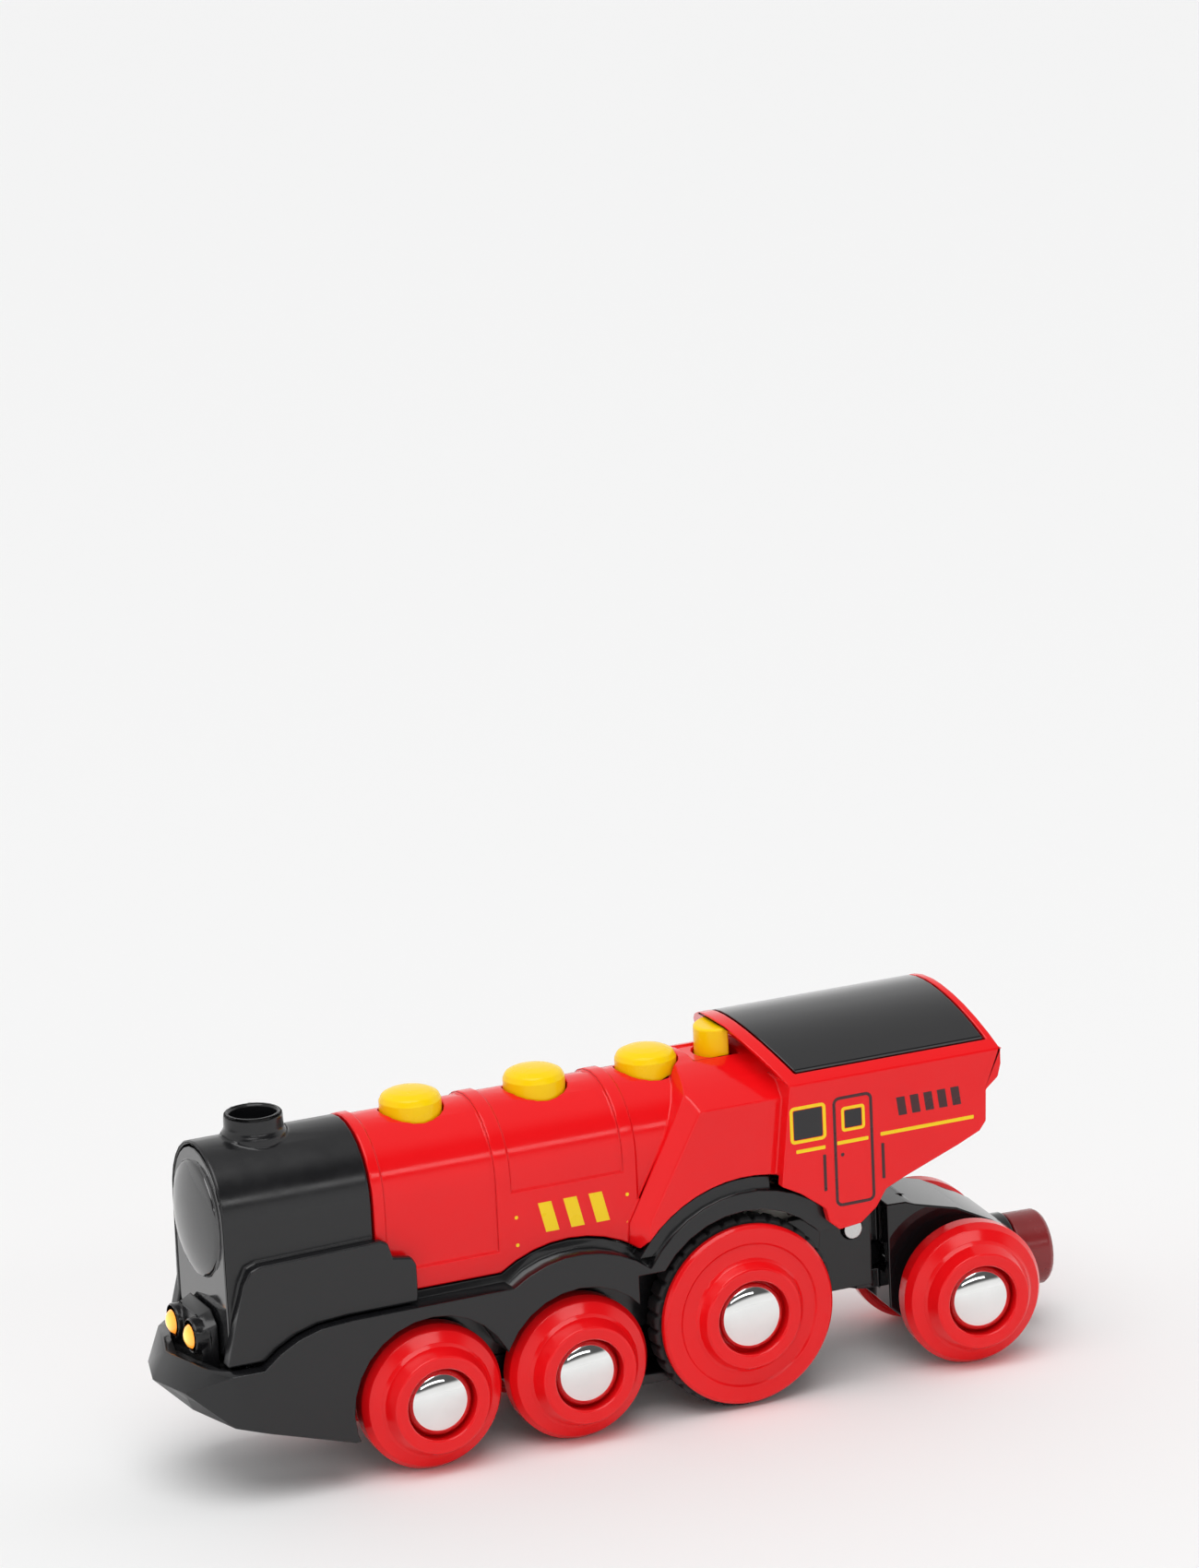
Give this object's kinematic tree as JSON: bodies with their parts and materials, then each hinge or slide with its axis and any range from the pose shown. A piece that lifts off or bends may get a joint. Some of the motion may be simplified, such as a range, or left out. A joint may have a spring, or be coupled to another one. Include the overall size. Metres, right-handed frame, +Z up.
{
  "type": "toy train locomotive",
  "caption": "Battery toy steam-style locomotive for wooden track: sprung buttons, geared driving wheels, swivelling rear truck with round magnetic coupling.",
  "frame": {"origin": "on the track surface, on the centreline, 0.7 mm ahead of the driven axle", "axes": "+X forwards, towards the chimney end; +Y to the locomotive's left; +Z up"},
  "size_m": [0.1567, 0.0391, 0.0616],
  "materials": {
    "red": "glossy moulded plastic",
    "black": "glossy black moulded plastic",
    "gloss": "high-gloss black moulded plastic",
    "yellow": "glossy moulded plastic",
    "amber": "translucent amber plastic over a lit diode",
    "rubber": "matt ribbed rubber",
    "chrome": "polished plated steel",
    "steel": "drawn steel",
    "maroon": "dark red moulded plastic",
    "nylon": "natural moulded nylon",
    "board": "green coated circuit board",
    "sleeve": "printed cell sleeve",
    "brass": "cut brass"
  },
  "bodies": {
    "frame": {"chassis": "black", "battery_cover": "black", "cover_screw": "steel", "body_screw_front": "steel", "body_screw_rear": "steel", "body_shell": "red", "roof_panel": "gloss", "smokebox_shell": "black", "front_plate": "gloss", "lamp_housing": "black", "lamp_lens_left": "amber", "lamp_lens_right": "amber", "battery_lower": "sleeve", "battery_upper": "sleeve", "contact_front": "steel", "contact_rear": "steel", "circuit_board": "board", "switch_front": "gloss", "switch_middle": "gloss", "switch_rear": "gloss", "switch_stop": "gloss", "motor": "steel", "compound_shaft": "steel", "cross_pin": "steel", "speaker": "gloss"},
    "front_wheelset": {"front_axle": "steel", "front_wheel_left": "red", "front_cap_left": "chrome", "front_wheel_right": "red", "front_cap_right": "chrome"},
    "middle_wheelset": {"middle_axle": "steel", "middle_wheel_left": "red", "middle_cap_left": "chrome", "middle_wheel_right": "red", "middle_cap_right": "chrome"},
    "drive_wheelset": {"drive_axle": "steel", "axle_gear": "nylon", "drive_wheel_left": "red", "drive_tyre_left": "rubber", "drive_cap_left": "chrome", "drive_wheel_right": "red", "drive_tyre_right": "rubber", "drive_cap_right": "chrome"},
    "lay_gear": {"compound_gear": "nylon"},
    "pinion": {"motor_pinion": "brass"},
    "front_button": {"button_front": "yellow"},
    "middle_button": {"button_middle": "yellow"},
    "rear_button": {"button_rear": "yellow"},
    "stop_button": {"button_stop": "yellow"},
    "link": {"swivel_link": "black"},
    "truck": {"truck_frame": "black", "swivel_screw": "steel", "coupling_cup": "maroon", "coupling_magnet": "steel"},
    "rear_wheelset": {"rear_axle": "steel", "rear_wheel_left": "red", "rear_cap_left": "chrome", "rear_wheel_right": "red", "rear_cap_right": "chrome"}
  },
  "joints": [
    {"name": "front_wheels_spin", "type": "hinge", "parent": "frame", "child": "front_wheelset", "pos_m": [0.054, 0, 0.012], "axis": [0, 1, 0], "continuous": true},
    {"name": "middle_wheels_spin", "type": "hinge", "parent": "frame", "child": "middle_wheelset", "pos_m": [0.0286, 0, 0.012], "axis": [0, 1, 0], "continuous": true},
    {"name": "drive_wheels_spin", "type": "hinge", "parent": "frame", "child": "drive_wheelset", "pos_m": [-0.0007, 0, 0.0159], "axis": [0, 1, 0], "continuous": true},
    {"name": "lay_gear_spin", "type": "hinge", "parent": "frame", "child": "lay_gear", "pos_m": [-0.0043, 0, 0.02656], "axis": [0, 1, 0], "continuous": true},
    {"name": "pinion_spin", "type": "hinge", "parent": "frame", "child": "pinion", "pos_m": [-0.0088, 0, 0.03768], "axis": [0, 1, 0], "continuous": true},
    {"name": "front_button_press", "type": "slide", "parent": "frame", "child": "front_button", "axis": [0, 0, -1], "range_m": [0, 0.0008], "stiffness_N_per_m": 300},
    {"name": "middle_button_press", "type": "slide", "parent": "frame", "child": "middle_button", "axis": [0, 0, -1], "range_m": [0, 0.0008], "stiffness_N_per_m": 300},
    {"name": "rear_button_press", "type": "slide", "parent": "frame", "child": "rear_button", "axis": [0, 0, -1], "range_m": [0, 0.0008], "stiffness_N_per_m": 300},
    {"name": "stop_button_press", "type": "slide", "parent": "frame", "child": "stop_button", "axis": [0, 0, -1], "range_m": [0, 0.0008], "stiffness_N_per_m": 300},
    {"name": "truck_pitch", "type": "hinge", "parent": "frame", "child": "link", "pos_m": [-0.0226, 0, 0.0247], "axis": [0, 1, 0], "range_deg": [-4, 4]},
    {"name": "truck_swivel", "type": "hinge", "parent": "link", "child": "truck", "pos_m": [-0.0285, 0, 0], "axis": [0, 0, 1], "range_deg": [-9.5, 18.5]},
    {"name": "rear_wheels_spin", "type": "hinge", "parent": "truck", "child": "rear_wheelset", "pos_m": [-0.04218, 0.00208, 0.012], "axis": [0.0785, 0.9969, 0], "continuous": true}
  ],
  "couplings": [
    {"joint": "lay_gear_spin", "follows": "drive_wheels_spin", "ratio": -2},
    {"joint": "pinion_spin", "follows": "drive_wheels_spin", "ratio": 6}
  ]
}
